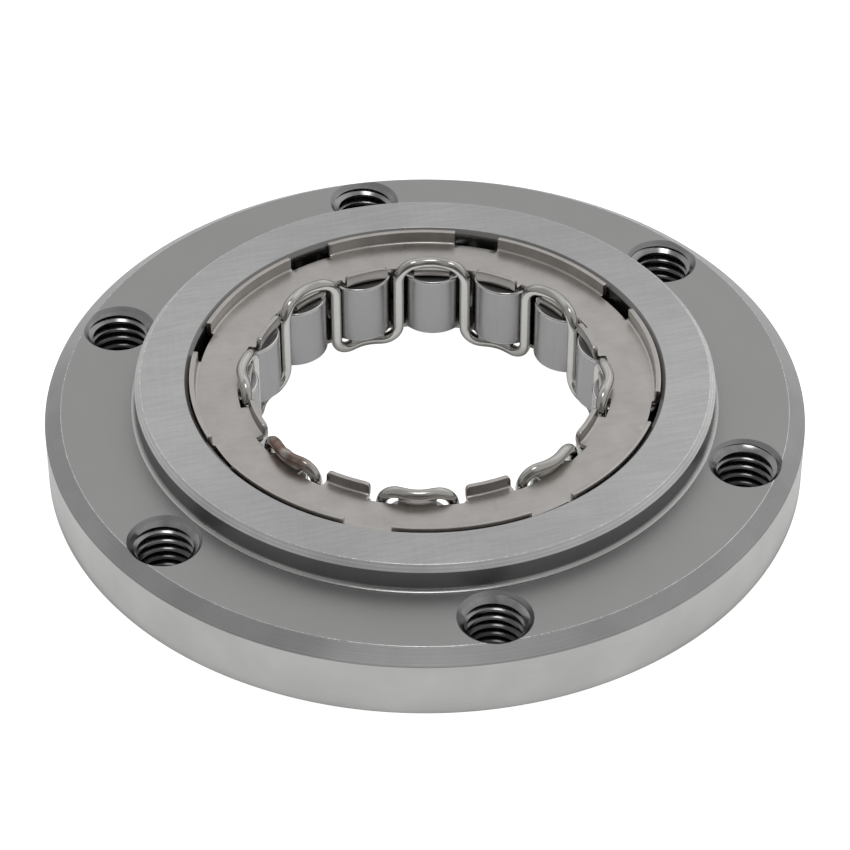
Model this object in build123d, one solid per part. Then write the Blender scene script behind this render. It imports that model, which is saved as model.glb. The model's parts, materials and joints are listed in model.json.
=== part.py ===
from build123d import *
import math
import os

# Sprag clutch with a flanged outer race. Millimetres and degrees.
# The origin is the centre of the race's bottom face, +Z is the clutch axis
# towards the hub, and the first tapped hole lies on +X.

# Inner race that the clutch runs on, and the space for the sprags round it
inner_race_diameter = 40.3
race_space = 8.35

# Outer race: a hardened ring with a bolting flange
hub_wall = 6.5
hub_land = 1.0
rim_wall = 2.0
flange_thickness = 9.0
rim_chamfer_width = 2.0
rim_chamfer_height = 1.4
foot_chamfer = 0.5
body_height = 12.5
hub_chamfer = 0.7
hub_fillet = 0.5
bore_chamfer = 0.5
bolt_count = 6
bolt_diameter = 8.0
bolt_chamfer = 0.4

# Sprags: cam-shaped struts that wedge between the bore and the inner race
sprag_count = 16
sprag_phase = 16.3
sprag_length = 8.2
sprag_width = 7.1
inner_cam_radius = 4.3
outer_cam_radius = 4.3
cam_offset = 0.8
flank_hollow = 0.45
sprag_edge_radius = 0.4
sprag_end_chamfer = 0.25
bore_clearance = 0.05

# Cage: two stamped plates held apart by pillars bent from the lower one
sheet = 0.6
bend_radius = 0.3
end_play = 0.05
lip_clearance = 0.1
upper_lip_rise = 1.55
lower_lip_rise = 1.2
lip_gap = 5.7
pillar_width = 2.2
pillar_shift = -1.7
pillar_slit = 0.3
tab_clearance = 0.83
open_tab_rise = 1.37
crossed_tab_rise = 0.35
crossed_tab_width = 4.5
open_tab_width = 5.6
tab_corner_radius = 0.6
notch_depth = 1.0

# Energising spring: one closed wire woven over and under the sprags
wire_diameter = 1.4
wire_leg_clearance = 0.65
wire_lift = 0.165
wire_tab_clearance = 0.07
wire_bow = 0.85
leg_bend_radius = 2.2
bow_bend_radius = 5.0

# Sizes that follow from the ones above
inner_race_radius = inner_race_diameter / 2
bore_radius = inner_race_radius + race_space
hub_radius = bore_radius + hub_wall
bolt_circle_radius = hub_radius + hub_land + bolt_diameter / 2
flange_radius = bolt_circle_radius + bolt_diameter / 2 + rim_wall
wire_radius = wire_diameter / 2
sprag_pitch = 360 / sprag_count
gap_phase = sprag_phase - sprag_pitch / 2
gap_count = sprag_count // 2
gap_pitch = 360 / gap_count
cage_middle = body_height / 2
wire_middle = body_height / 2 + wire_lift
cage_gap = sprag_length + 2 * end_play
plate_inside = cage_middle + cage_gap / 2
plate_outside = plate_inside + sheet
pillar_end = 2 * cage_middle - plate_inside
lip_outer = bore_radius - lip_clearance
lip_inner = lip_outer - sheet
lip_end = plate_outside + upper_lip_rise
lip_root = lip_inner - 2 * sheet
plate_edge = lip_inner - bend_radius
pillar_inner = plate_edge - sheet
pillar_root = pillar_inner - bend_radius
tab_inner = inner_race_radius + tab_clearance
tab_outer = tab_inner + sheet
open_tab_end = plate_outside + open_tab_rise
crossed_tab_end = plate_outside + crossed_tab_rise
notch_radius = tab_outer + notch_depth
tab_root = notch_radius + sheet
pivot_radius = bore_radius - bore_clearance - outer_cam_radius
pivot_x = math.sqrt(pivot_radius ** 2 - cam_offset ** 2)


def polar(radius, degrees, height):
    """Return the point at a radius, an angle from +X and a height."""
    angle = math.radians(degrees)
    return (radius * math.cos(angle), radius * math.sin(angle), height)


def spread(width, radius):
    """Return the angle that a width takes on a circle."""
    return math.degrees(width / radius)


def outline(points):
    """Return the face in the radial plane with these (radius, height) corners."""
    return make_face(Plane.XZ * Polyline(*points, close=True))


def turned(face, degrees=360.0, middle=0.0):
    """Return a radial face turned about the axis, centred on an angle."""
    solid = revolve(face, Axis.Z, revolution_arc=degrees)
    return Rot(0, 0, middle - degrees / 2) * solid


def ring_piece(radii, heights, width_degrees, middle):
    """Return a piece of a plain ring between two radii and two heights."""
    inner, outer = radii
    low, high = heights
    face = outline([(inner, low), (outer, low), (outer, high), (inner, high)])
    return turned(face, width_degrees, middle)


def bent(face, corner, radius):
    """Return a radial face with the corner nearest a (radius, height) rounded."""
    target = Vector(corner[0], 0, corner[1])
    vertex = min(face.vertices(), key=lambda each: (Vector(each) - target).length)
    return fillet(vertex, radius)


def tapped_hole():
    """Return the cutter for one hole at thread size, with both mouths chamfered."""
    radius = bolt_diameter / 2
    mouth = radius + bolt_chamfer
    face = outline([
        (0, 0),
        (mouth, 0),
        (radius, bolt_chamfer),
        (radius, flange_thickness - bolt_chamfer),
        (mouth, flange_thickness),
        (0, flange_thickness),
    ])
    return turned(face)


def outer_race():
    """Return the flanged ring with its hub, plain bore and six tapped holes."""
    foot = (hub_radius, flange_thickness)
    face = outline([
        (bore_radius + bore_chamfer, 0),
        (flange_radius - foot_chamfer, 0),
        (flange_radius, foot_chamfer),
        (flange_radius, flange_thickness - rim_chamfer_height),
        (flange_radius - rim_chamfer_width, flange_thickness),
        foot,
        (hub_radius, body_height - hub_chamfer),
        (hub_radius - hub_chamfer, body_height),
        (bore_radius + bore_chamfer, body_height),
        (bore_radius, body_height - bore_chamfer),
        (bore_radius, bore_chamfer),
    ])
    race = turned(bent(face, foot, hub_fillet))
    for place in PolarLocations(bolt_circle_radius, bolt_count):
        race -= place * tapped_hole()
    return race


def sprag():
    """Return the sprag that lies on +X: two cams with hollow flanks between.

    It tilts about the centre of its outer cam, which therefore keeps its
    clearance from the bore at every angle.
    """
    half = sprag_width / 2
    inner_centre = inner_race_radius + inner_cam_radius
    outer_centre = pivot_x
    outer_tip = outer_centre + outer_cam_radius
    inner_corner = inner_centre - math.sqrt(inner_cam_radius ** 2 - half ** 2)
    outer_corner = outer_centre + math.sqrt(outer_cam_radius ** 2 - half ** 2)
    waist = (inner_corner + outer_corner) / 2
    waist_half = half - flank_hollow
    waist_shift = -cam_offset / 2
    section = make_face([
        ThreePointArc((inner_corner, half), (inner_race_radius, 0), (inner_corner, -half)),
        ThreePointArc(
            (inner_corner, -half),
            (waist, waist_shift - waist_half),
            (outer_corner, -cam_offset - half),
        ),
        ThreePointArc(
            (outer_corner, -cam_offset - half),
            (outer_tip, -cam_offset),
            (outer_corner, -cam_offset + half),
        ),
        ThreePointArc(
            (outer_corner, -cam_offset + half),
            (waist, waist_shift + waist_half),
            (inner_corner, half),
        ),
    ])
    section = fillet(section.vertices(), sprag_edge_radius)
    body = extrude(Pos(0, 0, cage_middle - sprag_length / 2) * section, sprag_length)
    ends = body.edges().group_by(Axis.Z)
    return chamfer(ends[0] + ends[-1], sprag_end_chamfer)


def lips_with_gaps(plate, rise):
    """Return a flat ring with a lip round its rim, cut away at the gaps."""
    end = plate_outside + rise
    face = outline([
        (lip_root, plate_inside),
        (lip_outer, plate_inside),
        (lip_outer, end),
        (lip_inner, end),
        (lip_inner, plate_outside),
        (lip_root, plate_outside),
    ])
    face = bent(face, (lip_inner, plate_outside), bend_radius)
    face = bent(face, (lip_outer, plate_inside), bend_radius + sheet)
    plate += turned(face)
    for index in range(gap_count):
        width = spread(lip_gap, lip_outer)
        middle = gap_phase + index * gap_pitch
        plate -= ring_piece((plate_edge, bore_radius), (plate_inside, end), width, middle)
    return plate


def flat_ring(inner):
    """Return the flat of a plate, drawn at the upper plate's height."""
    radii = (inner, plate_edge)
    return ring_piece(radii, (plate_inside, plate_outside), 360.0, 0.0)


def turned_up_tab(end, width, middle):
    """Return one tab bent up from the inner edge of the upper plate."""
    face = outline([
        (tab_inner, plate_inside),
        (tab_root, plate_inside),
        (tab_root, plate_outside),
        (tab_outer, plate_outside),
        (tab_outer, end),
        (tab_inner, end),
    ])
    face = bent(face, (tab_outer, plate_outside), bend_radius)
    face = bent(face, (tab_inner, plate_inside), bend_radius + sheet)
    return turned(face, spread(width, tab_outer), middle)


def open_tab(middle):
    """Return a tab with no wire over it: taller, wider and round at its corners."""
    tab = turned_up_tab(open_tab_end, open_tab_width, middle)
    top = tab.edges().group_by(Axis.Z)[-1]
    corners = top.sort_by(SortBy.LENGTH)[:2]
    return fillet(corners, tab_corner_radius)


def crossed_tab(middle):
    """Return a tab that ends just under the wire."""
    return turned_up_tab(crossed_tab_end, crossed_tab_width, middle)


def pillar(middle):
    """Return one pillar, drawn bent down from the rim of the upper plate."""
    face = outline([
        (pillar_root - sheet, plate_outside),
        (plate_edge, plate_outside),
        (plate_edge, pillar_end),
        (pillar_inner, pillar_end),
        (pillar_inner, plate_inside),
        (pillar_root - sheet, plate_inside),
    ])
    face = bent(face, (plate_edge, plate_outside), bend_radius + sheet)
    face = bent(face, (pillar_inner, plate_inside), bend_radius)
    return turned(face, spread(pillar_width, plate_edge), middle)


def upper_plate():
    """Return the upper plate: lips round its rim and tabs turned up at every sprag."""
    plate = lips_with_gaps(flat_ring(notch_radius), upper_lip_rise)
    for index in range(0, sprag_count, 2):
        middle = sprag_phase + index * sprag_pitch
        plate += crossed_tab(middle)
        plate += open_tab(middle + sprag_pitch)
    return plate


def lower_plate():
    """Return the lower plate: lips, flat tongues over the wire, and pillars.

    It is drawn as an upper plate and turned over, so its pillars stand up and
    seat on the upper plate, midway between two sprags' outer cams.
    """
    plate = lips_with_gaps(flat_ring(notch_radius), lower_lip_rise)
    heights = (plate_inside, plate_outside)
    for index in range(1, sprag_count, 2):
        middle = sprag_phase + index * sprag_pitch
        radii = (tab_inner, tab_root)
        plate += ring_piece(radii, heights, spread(crossed_tab_width, tab_outer), middle)
    slit_width = spread(pillar_width + 2 * pillar_slit, plate_edge)
    for index in range(gap_count):
        middle = gap_phase + pillar_shift + index * gap_pitch
        plate -= ring_piece((pillar_root, bore_radius), heights, slit_width, middle)
        plate += pillar(middle)
    return mirror(plate, Plane.XY.offset(cage_middle))


def spring_path():
    """Return one repeat of the wire: over one sprag and under the next.

    It starts and ends halfway up a leg, so that the repeats join in line.
    """
    leg = inner_race_radius + wire_leg_clearance + wire_radius
    bow = leg + wire_bow
    rise = crossed_tab_end + wire_tab_clearance + wire_radius - wire_middle
    points = [polar(leg, -sprag_pitch / 2, wire_middle)]
    for centre, side in ((0, 1), (sprag_pitch, -1)):
        height = wire_middle + side * rise
        points.append(polar(leg, centre - sprag_pitch / 2, height))
        points.append(polar(bow, centre, height))
        points.append(polar(leg, centre + sprag_pitch / 2, height))
    points.append(polar(leg, 1.5 * sprag_pitch, wire_middle))
    bends = [leg_bend_radius, bow_bend_radius, leg_bend_radius]
    return FilletPolyline(*points, radius=bends * 2)


def energising_spring():
    """Return the closed serpentine wire."""
    path = spring_path()
    section = Plane(origin=path @ 0, z_dir=path % 0) * Circle(wire_radius)
    repeat = sweep(section, path=path)
    wire = Part()
    for index in range(gap_count):
        wire += Rot(0, 0, sprag_phase + index * gap_pitch) * repeat
    return wire


def all_parts():
    """Return every piece of the clutch by name."""
    parts = {
        "outer_race": outer_race(),
        "cage_top_plate": upper_plate(),
        "cage_bottom_plate": lower_plate(),
        "energising_spring": energising_spring(),
    }
    master = sprag()
    for index in range(sprag_count):
        name = f"sprag_{index + 1:02d}"
        parts[name] = Rot(0, 0, sprag_phase + index * sprag_pitch) * master
    return parts


os.makedirs("parts", exist_ok=True)
for name, solid in all_parts().items():
    solid.label = name
    export_step(solid, f"parts/{name}.step")
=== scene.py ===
"""Dresses the sprag clutch: turned race, stamped cage, cam sprags and woven wire spring.

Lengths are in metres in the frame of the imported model: the origin is the centre of the
race's bottom face, +Z is the clutch axis and the first tapped hole lies on +X.
"""
import json
import logging
import math
from collections.abc import Callable, Iterator
from contextlib import contextmanager
from dataclasses import dataclass, replace
from enum import Enum

import bmesh
import bpy
from mathutils import Matrix, Vector


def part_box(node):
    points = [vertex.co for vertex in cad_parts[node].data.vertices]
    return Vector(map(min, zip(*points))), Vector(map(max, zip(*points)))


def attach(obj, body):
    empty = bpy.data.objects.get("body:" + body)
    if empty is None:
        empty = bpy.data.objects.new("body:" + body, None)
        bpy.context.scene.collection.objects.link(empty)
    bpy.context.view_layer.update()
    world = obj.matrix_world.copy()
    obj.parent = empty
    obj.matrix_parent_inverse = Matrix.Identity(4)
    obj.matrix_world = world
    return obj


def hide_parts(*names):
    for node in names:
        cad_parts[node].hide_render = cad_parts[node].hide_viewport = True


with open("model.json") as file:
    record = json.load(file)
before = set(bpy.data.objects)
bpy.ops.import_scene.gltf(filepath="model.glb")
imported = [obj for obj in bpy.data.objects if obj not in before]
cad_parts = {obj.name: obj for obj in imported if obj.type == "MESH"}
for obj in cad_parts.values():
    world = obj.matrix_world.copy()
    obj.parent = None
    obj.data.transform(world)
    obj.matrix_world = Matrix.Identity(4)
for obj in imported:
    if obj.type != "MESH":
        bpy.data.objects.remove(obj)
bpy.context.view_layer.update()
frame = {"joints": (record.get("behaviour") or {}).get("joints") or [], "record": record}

MM = 0.001
FULL_TURN = 2 * math.pi

# Corners nearer than this, and angles in radians nearer than this, are taken as one.
MERGE_DISTANCE = 0.0005 * MM
SAME_ANGLE = 1e-4

# Edges below this angle in degrees are shaded smooth. A weight of 50 counts all faces alike,
# and more favours the large ones.
SMOOTH_BELOW = 35.0
FACE_WEIGHT = 60

# The ranges, from 0 to 1, that most and nearly all of a noise's values lie in.
NOISE_BAND = (0.3, 0.7)
NOISE_REACH = (0.2, 0.8)

log = logging.getLogger("sprag_clutch")

Point2 = tuple[float, float]
Point3 = tuple[float, float, float]
Colour = tuple[float, float, float]
Piece = bpy.types.Object
Material = bpy.types.Material
Node = bpy.types.Node
Socket = bpy.types.NodeSocket


def mount_size(name: str, key: str) -> float:
    """Return one stated size of a mount.

    Args:
        name: the mount's name in the record.
        key: the size's key, which ends in _mm where it is a length.

    Returns:
        The size in metres.
    """
    mount = next(each for each in frame["record"]["mounts"] if each["name"] == name)
    return mount["dims"][key] * MM


@dataclass(frozen=True)
class Layout:
    """The sizes that the pieces share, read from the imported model."""

    flange_radius: float
    body_height: float
    hub_radius: float
    bolt_circle_radius: float
    bolt_radius: float
    bolt_count: int
    inner_race_radius: float
    sprag_count: int
    pivot: Vector
    cam_offset: float = 0.8 * MM

    @classmethod
    def read(cls) -> "Layout":
        """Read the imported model.

        Returns:
            Its layout.
        """
        race_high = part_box("outer_race")[1]
        tilts = sorted((joint for joint in frame["joints"] if joint["name"].endswith("_tilt")),
                       key=lambda joint: joint["name"])
        pattern = next(each for each in frame["record"]["mounts"] if each["name"] == "rotor_bolts")
        return cls(
            flange_radius=race_high.x,
            body_height=race_high.z,
            hub_radius=mount_size("hub_spigot", "r_mm"),
            bolt_circle_radius=mount_size("rotor_bolts", "pcd_mm") / 2,
            bolt_radius=mount_size("rotor_bolts", "hole_r_mm"),
            bolt_count=pattern["dims"]["count"],
            inner_race_radius=mount_size("inner_race_track", "r_mm"),
            sprag_count=len(tilts),
            pivot=Vector(tilts[0]["pos_m"]),
        )

    @property
    def pitch(self) -> float:
        """Return the angle between two sprags, in radians."""
        return FULL_TURN / self.sprag_count

    @property
    def pivot_along(self) -> float:
        """Return how far a sprag's pivot lies along its own middle line."""
        return math.sqrt(radius_of(self.pivot) ** 2 - self.cam_offset ** 2)

    @property
    def first_sprag(self) -> float:
        """Return the angle of the first sprag's middle line."""
        return angle_of(self.pivot) + math.atan2(self.cam_offset, self.pivot_along)

    @property
    def first_gap(self) -> float:
        """Return the angle of the middle of the gap before the first sprag."""
        return self.first_sprag - self.pitch / 2


def polar(radius: float, angle: float, height: float) -> Vector:
    """Return the point at a radius, an angle in radians from +X and a height."""
    return Vector((radius * math.cos(angle), radius * math.sin(angle), height))


def angle_of(point: Vector) -> float:
    """Return a point's angle about the clutch axis, in radians."""
    return math.atan2(point.y, point.x)


def radius_of(point: Vector) -> float:
    """Return a point's distance from the clutch axis."""
    return math.hypot(point.x, point.y)


class Element(Enum):
    """What an edit-mode selection picks."""

    CORNER = "VERT"
    EDGE = "EDGE"
    FACE = "FACE"


class Modelling:
    """Edit-mode helpers that every sub-assembly shares."""

    @staticmethod
    def clear_selection() -> None:
        """Leave nothing selected, in object mode."""
        if bpy.context.object is not None and bpy.context.object.mode != "OBJECT":
            bpy.ops.object.mode_set(mode="OBJECT")
        bpy.ops.object.select_all(action="DESELECT")

    @classmethod
    def select(cls, piece: Piece) -> None:
        """Select one piece alone and make it active.

        Args:
            piece: the piece to select.
        """
        cls.clear_selection()
        piece.select_set(True)
        bpy.context.view_layer.objects.active = piece

    @classmethod
    @contextmanager
    def editing(cls, piece: Piece) -> Iterator[None]:
        """Hold one piece in edit mode, with nothing else selected.

        Args:
            piece: the piece to edit.

        Yields:
            Nothing, once the piece is in edit mode.
        """
        cls.select(piece)
        bpy.ops.object.mode_set(mode="EDIT")
        try:
            yield
        finally:
            bpy.ops.object.mode_set(mode="OBJECT")

    @staticmethod
    def pick(kind: Element, test: Callable[[Vector], bool]) -> None:
        """Select elements of the piece in edit mode by the place of their middle.

        Args:
            kind: what to select.
            test: takes the middle and says whether to select it.
        """
        bpy.ops.mesh.select_mode(type=kind.value)
        bpy.ops.mesh.select_all(action="DESELECT")
        mesh = bmesh.from_edit_mesh(bpy.context.object.data)
        items = {Element.CORNER: mesh.verts, Element.EDGE: mesh.edges, Element.FACE: mesh.faces}
        for item in items[kind]:
            corners = [item] if kind is Element.CORNER else item.verts
            if test(sum((corner.co for corner in corners), Vector()) / len(corners)):
                item.select_set(True)
        mesh.select_flush_mode()
        bmesh.update_edit_mesh(bpy.context.object.data)

    @classmethod
    def chain(cls, name: str, points: list[Vector], closed: bool) -> Piece:
        """Lay the corners of a circle primitive along an outline.

        Args:
            name: the piece's name.
            points: the outline's corners.
            closed: whether the last corner joins the first.

        Returns:
            The new piece, an outline of edges only.
        """
        cls.clear_selection()
        bpy.ops.mesh.primitive_circle_add(vertices=len(points), radius=1.0, fill_type="NOTHING")
        piece = bpy.context.object
        piece.name = piece.data.name = name
        for vertex, point in zip(piece.data.vertices, points):
            vertex.co = point
        if not closed:
            last = {0, len(points) - 1}
            with cls.editing(piece):
                bpy.ops.mesh.select_mode(type="EDGE")
                bpy.ops.mesh.select_all(action="DESELECT")
                mesh = bmesh.from_edit_mesh(piece.data)
                for edge in mesh.edges:
                    edge.select_set({vertex.index for vertex in edge.verts} == last)
                bpy.ops.mesh.delete(type="EDGE")
        return piece

    @classmethod
    def lathe(cls, name: str, outline: list[Point2], steps: int, axis_at: Vector) -> Piece:
        """Turn a closed outline into a solid.

        Args:
            name: the piece's name.
            outline: corners as (radius, height).
            steps: how many faces go round.
            axis_at: the point where the turning axis meets the bottom plane.

        Returns:
            The turned piece.
        """
        points = [axis_at + Vector((radius, 0, height)) for radius, height in outline]
        piece = cls.chain(name, points, closed=True)
        with cls.editing(piece):
            bpy.ops.mesh.select_all(action="SELECT")
            bpy.ops.mesh.spin(steps=steps, angle=FULL_TURN, center=axis_at, axis=(0, 0, 1))
            cls.close_seams()
        return piece

    @staticmethod
    def close_seams() -> None:
        """Merge doubled corners and turn every face outwards, in edit mode."""
        bpy.ops.mesh.select_mode(type="VERT")
        bpy.ops.mesh.select_all(action="SELECT")
        bpy.ops.mesh.remove_doubles(threshold=MERGE_DISTANCE)
        bpy.ops.mesh.dissolve_degenerate(threshold=MERGE_DISTANCE)
        bpy.ops.mesh.normals_make_consistent(inside=False)

    @classmethod
    def apply(cls, piece: Piece, kind: str, **values: object) -> None:
        """Add a modifier and apply it.

        Args:
            piece: the piece to change.
            kind: the modifier's type.
            **values: its settings.
        """
        cls.select(piece)
        modifier = piece.modifiers.new(kind.title(), kind)
        for key, value in values.items():
            setattr(modifier, key, value)
        bpy.ops.object.modifier_apply(modifier=modifier.name)

    @classmethod
    def cut(cls, piece: Piece, cutters: list[Piece]) -> None:
        """Take the room of some cutters out of a piece, and remove them.

        Args:
            piece: the piece to cut.
            cutters: closed solids that don't touch each other.
        """
        cutter = cls.join(cutters, "cutter")
        cls.apply(piece, "BOOLEAN", object=cutter, operation="DIFFERENCE", solver="EXACT")
        bpy.data.objects.remove(cutter)

    @classmethod
    def smooth(cls, piece: Piece, below: float = SMOOTH_BELOW) -> None:
        """Shade a piece smooth, and keep its flats flat.

        Args:
            piece: the piece to shade.
            below: the angle in degrees from which an edge stays sharp.
        """
        cls.select(piece)
        bpy.ops.object.shade_smooth_by_angle(angle=math.radians(below))
        cls.apply(piece, "WEIGHTED_NORMAL", keep_sharp=True, weight=FACE_WEIGHT)

    @classmethod
    def copy_about_axis(cls, piece: Piece, name: str, angle: float) -> Piece:
        """Copy a piece, with a mesh of its own, and turn the copy about the clutch axis.

        Args:
            piece: the piece to copy.
            name: the copy's name.
            angle: how far it is turned, in radians.

        Returns:
            The copy.
        """
        cls.select(piece)
        bpy.ops.object.duplicate(linked=False)
        copy = bpy.context.object
        copy.name = copy.data.name = name
        copy.data.transform(Matrix.Rotation(angle, 4, "Z"))
        return copy

    @classmethod
    def join(cls, pieces: list[Piece], name: str) -> Piece:
        """Join several pieces into the first, under one name.

        Args:
            pieces: the pieces to join.
            name: the new name.

        Returns:
            The joined piece.
        """
        cls.clear_selection()
        for piece in pieces:
            piece.select_set(True)
        bpy.context.view_layer.objects.active = pieces[0]
        if len(pieces) > 1:
            bpy.ops.object.join()
        pieces[0].name = pieces[0].data.name = name
        return pieces[0]


def rounded(corners: list[Point3], steps: int, closed: bool = True) -> list[Point2]:
    """Replace each corner of an outline by an arc.

    Args:
        corners: (x, y, radius) of each corner; a radius of 0 keeps it sharp.
        steps: how many edges an arc has.
        closed: whether the outline's ends meet; an open one keeps its end corners.

    Returns:
        The outline's points.
    """
    points: list[Point2] = []
    count = len(corners)
    for index, (x, y, radius) in enumerate(corners):
        here = Vector((x, y))
        if radius == 0 or (not closed and index in (0, count - 1)):
            points.append((x, y))
            continue
        before = (Vector(corners[index - 1][:2]) - here).normalized()
        after = (Vector(corners[(index + 1) % count][:2]) - here).normalized()
        half = before.angle(after) / 2
        centre = here + (before + after).normalized() * radius / math.sin(half)
        start = here + before * radius / math.tan(half) - centre
        sweep = start.angle_signed(here + after * radius / math.tan(half) - centre)
        for step in range(steps + 1):
            turn = -sweep * step / steps
            x_arm = start.x * math.cos(turn) - start.y * math.sin(turn)
            y_arm = start.x * math.sin(turn) + start.y * math.cos(turn)
            points.append((centre.x + x_arm, centre.y + y_arm))
    return points


class Lay(Enum):
    """Which way the fine lines of a finish run."""

    TURNED = "rings about the clutch axis"
    GROUND = "short straight scratches across the face"
    ROLLED = "soft mottling of sheet metal"


class NodeBoard:
    """A small hand for placing shader nodes in one tree."""

    def __init__(self, tree: bpy.types.NodeTree) -> None:
        """Take the tree to work in."""
        self.tree = tree

    def add(self, kind: str, **values: object) -> Node:
        """Place a node.

        Args:
            kind: the node's type.
            **values: its settings by their own names, then inputs by their names in small letters.

        Returns:
            The new node.
        """
        node = self.tree.nodes.new(kind)
        for key, value in values.items():
            if hasattr(node, key):
                setattr(node, key, value)
            else:
                node.inputs[key.replace("_", " ").title()].default_value = value
        return node

    def link(self, source: Socket, target: Socket) -> None:
        """Join an output to an input."""
        self.tree.links.new(source, target)

    def feed(self, term: object, target: Socket) -> None:
        """Lead an output, or a plain number or colour, to an input.

        Args:
            term: what to lead there.
            target: the input.
        """
        if isinstance(term, bpy.types.NodeSocket):
            self.link(term, target)
        else:
            target.default_value = term

    def place(self) -> Socket:
        """Return the place of the shaded point in the frame."""
        return self.add("ShaderNodeTexCoord").outputs["Object"]

    def math(self, operation: str, *terms: object) -> Socket:
        """Place a math node.

        Args:
            operation: what it does.
            *terms: the outputs or numbers that it works on.

        Returns:
            Its result.
        """
        node = self.add("ShaderNodeMath", operation=operation)
        for slot, term in zip(node.inputs, terms):
            self.feed(term, slot)
        return node.outputs[0]

    def noise(self, place: Socket, scale: object, detail: float, roughness: float = 0.5) -> Socket:
        """Place a cloudy noise.

        Args:
            place: where it is read.
            scale: its cells to a metre, as an output or a number.
            detail: how many finer layers it has.
            roughness: how strong the finer layers are, from 0 to 1.

        Returns:
            Its value, from 0 to 1.
        """
        node = self.add("ShaderNodeTexNoise", detail=detail, roughness=roughness)
        self.link(place, node.inputs["Vector"])
        self.feed(scale, node.inputs["Scale"])
        return node.outputs["Fac"]

    def spread(self, value: Socket, band: Point2, out: Point2) -> Socket:
        """Move a value from one range into another, held at its ends.

        Args:
            value: the value.
            band: the range that it comes from.
            out: the range that it goes to.

        Returns:
            The moved value.
        """
        node = self.add("ShaderNodeMapRange", clamp=True, from_min=band[0], from_max=band[1],
                        to_min=out[0], to_max=out[1])
        self.link(value, node.inputs["Value"])
        return node.outputs["Result"]

    def shaded(self, colour: object, shade: Socket) -> Socket:
        """Darken or lighten a colour.

        Args:
            colour: the colour, plain or from an output.
            shade: what it is multiplied by.

        Returns:
            The new colour.
        """
        node = self.add("ShaderNodeVectorMath", operation="SCALE")
        self.feed(colour, node.inputs[0])
        self.link(shade, node.inputs["Scale"])
        return node.outputs[0]

    def mixed(self, share: Socket, first: object, second: object) -> Socket:
        """Mix two colours.

        Args:
            share: how much of the second shows, from 0 to 1.
            first: a colour, plain or from an output.
            second: the other one.

        Returns:
            The mixed colour.
        """
        node = self.add("ShaderNodeMix", data_type="RGBA")
        self.link(share, node.inputs[0])
        slots = [slot for slot in node.inputs if slot.type == "RGBA"]
        for slot, colour in zip(slots, (first, second)):
            self.feed(colour, slot)
        return next(slot for slot in node.outputs if slot.type == "RGBA")


class SurfaceMarks:
    """The node groups that the steels share, each built once."""

    # Each run of scratches: its turn about the axis in degrees, and its share of the height.
    SCRATCHES = ((-53.0, 0.5), (-67.0, 0.3), (24.0, 0.2))
    # How many times longer than wide a scratch is.
    SCRATCH_STRETCH = 22.0

    def __init__(self) -> None:
        """Build every group."""
        self.turning = self._turning_lines()
        self.grinding = self._grinding_scratches()
        self.mottle = self._mottling()

    @staticmethod
    def _group(name: str, inputs: dict[str, float], outputs: list[str]) -> tuple[NodeBoard, Node, Node]:
        """Start a node group.

        Args:
            name: the group's name.
            inputs: its inputs and the values that they have unless set.
            outputs: its outputs.

        Returns:
            The group's board, its input node and its output node.
        """
        tree = bpy.data.node_groups.new(name, "ShaderNodeTree")
        for key, value in inputs.items():
            socket = tree.interface.new_socket(name=key, in_out="INPUT", socket_type="NodeSocketFloat")
            socket.default_value = value
        for key in outputs:
            tree.interface.new_socket(name=key, in_out="OUTPUT", socket_type="NodeSocketFloat")
        board = NodeBoard(tree)
        return board, board.add("NodeGroupInput"), board.add("NodeGroupOutput")

    @classmethod
    def _turning_lines(cls) -> bpy.types.NodeTree:
        """Build rings about the clutch axis, as a height from 0 to 1.

        Returns:
            The node group.
        """
        inputs = {"Line Width": 0.2 * MM, "Waver": 0.3}
        board, given, result = cls._group("turning_lines", inputs, ["Height"])
        place = board.place()
        split = board.add("ShaderNodeSeparateXYZ")
        board.link(place, split.inputs[0])
        x, y, z = split.outputs
        squared = board.math("ADD", board.math("MULTIPLY", x, x), board.math("MULTIPLY", y, y))
        along = board.math("SUBTRACT", board.math("SQRT", squared), z)
        lines = board.math("DIVIDE", along, given.outputs["Line Width"])
        drift = board.noise(place, scale=90.0, detail=2.0, roughness=0.6)
        lines = board.math("ADD", lines, board.math("MULTIPLY", drift, given.outputs["Waver"]))
        wave = board.add("ShaderNodeTexNoise", noise_dimensions="1D", detail=2.0, scale=1.0)
        board.link(lines, wave.inputs["W"])
        board.link(wave.outputs["Fac"], result.inputs["Height"])
        return board.tree

    @classmethod
    def _grinding_scratches(cls) -> bpy.types.NodeTree:
        """Build straight scratches, most of them one way, as a height from 0 to 1.

        Returns:
            The node group.
        """
        board, given, result = cls._group("grinding_scratches", {"Fineness": 3000.0}, ["Height"])
        place = board.place()
        total = 0.0
        for degrees, share in cls.SCRATCHES:
            turn = board.add("ShaderNodeMapping", vector_type="TEXTURE",
                             rotation=(0.0, 0.0, math.radians(degrees)),
                             scale=(1.0, cls.SCRATCH_STRETCH, cls.SCRATCH_STRETCH))
            board.link(place, turn.inputs["Vector"])
            lines = board.noise(turn.outputs[0], given.outputs["Fineness"], detail=1.0)
            total = board.math("ADD", board.spread(lines, NOISE_BAND, (0.0, share)), total)
        board.link(total, result.inputs["Height"])
        return board.tree

    @classmethod
    def _mottling(cls) -> bpy.types.NodeTree:
        """Build broad soft patches and a fine grain, each from 0 to 1.

        Returns:
            The node group.
        """
        inputs = {"Patch Scale": 120.0, "Grain Scale": 2500.0}
        board, given, result = cls._group("mottling", inputs, ["Patches", "Grain"])
        place = board.place()
        for key, source, detail in (("Patches", "Patch Scale", 4.0), ("Grain", "Grain Scale", 3.0)):
            cloud = board.noise(place, given.outputs[source], detail, roughness=0.55)
            board.link(cloud, result.inputs[key])
        return board.tree


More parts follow.
